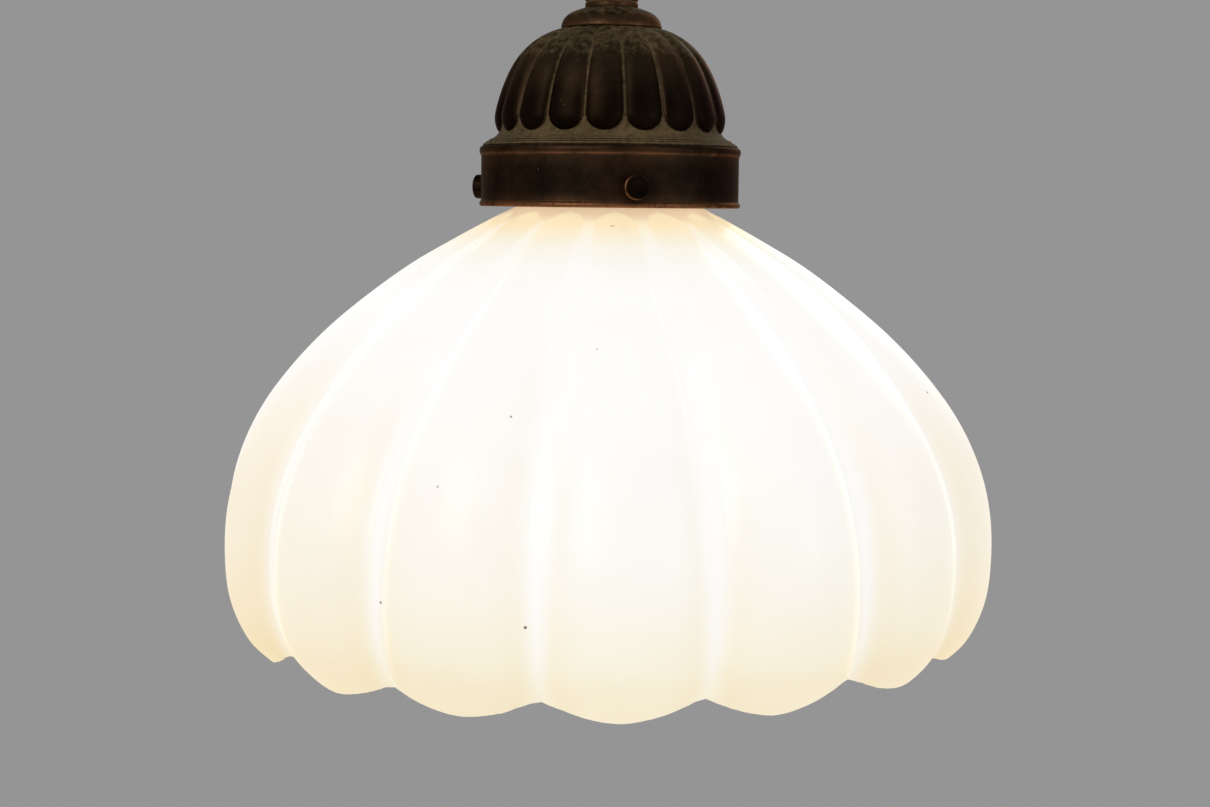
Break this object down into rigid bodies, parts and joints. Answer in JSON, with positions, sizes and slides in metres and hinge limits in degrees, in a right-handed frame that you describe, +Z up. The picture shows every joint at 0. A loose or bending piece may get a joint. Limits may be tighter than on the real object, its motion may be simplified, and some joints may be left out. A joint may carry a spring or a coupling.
{
  "type": "pendant ceiling light",
  "caption": "Pendant light: melon-ribbed opal glass shade in a gadrooned dark bronze gallery, on a tube stem with bell canopy and ceiling hook.",
  "frame": {"origin": "midway between the two ceiling screw holes, in the plane of the bracket's top faces, which bear on the ceiling", "axes": "+Z up through the ceiling, the lamp hanging towards -Z; -Y is the front that the picture shows; +X to its right, the line of the two screw holes"},
  "size_m": [0.2672, 0.2671, 0.4996],
  "materials": {
    "bronze_patina": "aged dark bronze, satin, dusty recesses",
    "bronze_band": "aged dark bronze, satin, copper-coloured wear on edges",
    "dark_steel": "blackened steel",
    "zinc_steel": "dull zinc plate",
    "brass": "satin brass",
    "porcelain": "glazed white porcelain",
    "black_rubber": "matt",
    "green_sleeving": "PVC sleeving",
    "brown_sleeving": "PVC sleeving",
    "blue_sleeving": "PVC sleeving",
    "white_plastic": "moulded, satin",
    "opal_glass": "glossy opal (milk) glass, lit from inside",
    "frosted_glass": "inside-frosted bulb glass, lit",
    "clear_glass": "clear glass",
    "black_glass": "vitreous insulation of a bulb cap",
    "bulb_metal": "rolled bright metal",
    "tungsten": "coiled wire"
  },
  "bodies": {
    "ceiling_mount": {"ceiling_bracket": "zinc_steel", "ceiling_hook": "dark_steel", "hook_nut": "zinc_steel", "hook_washer": "zinc_steel"},
    "link": {"link_ring": "bronze_patina"},
    "pendant": {"stem_eye": "bronze_patina", "stem_coupler": "bronze_patina", "window_grommet": "black_rubber", "earth_screw": "brass", "earth_lead": "green_sleeving", "terminal_block": "white_plastic", "terminal_screws": "zinc_steel", "live_wire": "brown_sleeving", "neutral_wire": "blue_sleeving", "stem_tube": "bronze_patina", "stem_collar": "bronze_patina", "dome_cap": "bronze_patina", "gadrooned_dome": "bronze_patina", "fitter_band": "bronze_band", "screw_bosses": "bronze_band", "threaded_nipple": "zinc_steel", "dome_washer": "zinc_steel", "nipple_nut": "zinc_steel", "holder_cap": "brass", "holder_sleeve": "brass", "holder_insulator": "porcelain", "holder_thread": "brass", "centre_contact": "brass", "holder_terminals": "brass"},
    "canopy": {"canopy_cup": "bronze_patina", "canopy_collar": "bronze_patina"},
    "canopy_screw": {"canopy_screw": "bronze_patina"},
    "set_screw_1": {"set_screw_1": "bronze_band"},
    "set_screw_2": {"set_screw_2": "bronze_band"},
    "set_screw_3": {"set_screw_3": "bronze_band"},
    "shade": {"shade_glass": "opal_glass"},
    "bulb": {"bulb_glass": "frosted_glass", "bulb_cap": "bulb_metal", "bulb_insulator": "black_glass", "bulb_contact": "bulb_metal", "glass_mount": "clear_glass", "filament": "tungsten"}
  },
  "joints": [
    {"name": "link_swing", "type": "hinge", "parent": "ceiling_mount", "child": "link", "pos_m": [0, 0, -0.038], "axis": [1, 0, 0], "range_deg": [-5, 5]},
    {"name": "pendant_swing", "type": "hinge", "parent": "link", "child": "pendant", "pos_m": [0, 0, -0.0497], "axis": [0, 1, 0], "range_deg": [-5, 5]},
    {"name": "canopy_slide", "type": "slide", "parent": "pendant", "child": "canopy", "axis": [0, 0, -1], "range_m": [0, 0.15]},
    {"name": "canopy_screw_turn_out", "type": "slide", "parent": "canopy", "child": "canopy_screw", "axis": [0.5, 0.866, 0], "range_m": [0, 0.0025]},
    {"name": "set_screw_1_turn_out", "type": "slide", "parent": "pendant", "child": "set_screw_1", "axis": [0.1788, -0.9839, 0], "range_m": [0, 0.008]},
    {"name": "set_screw_2_turn_out", "type": "slide", "parent": "pendant", "child": "set_screw_2", "axis": [0.7627, 0.6468, 0], "range_m": [0, 0.008]},
    {"name": "set_screw_3_turn_out", "type": "slide", "parent": "pendant", "child": "set_screw_3", "axis": [-0.9415, 0.3371, 0], "range_m": [0, 0.008]},
    {"name": "shade_turn", "type": "hinge", "parent": "pendant", "child": "shade", "pos_m": [0, 0, -0.346], "axis": [0, 0, 1], "continuous": true},
    {"name": "bulb_unscrew", "type": "slide", "parent": "pendant", "child": "bulb", "axis": [0, 0, -1], "range_m": [0, 0.03]}
  ]
}
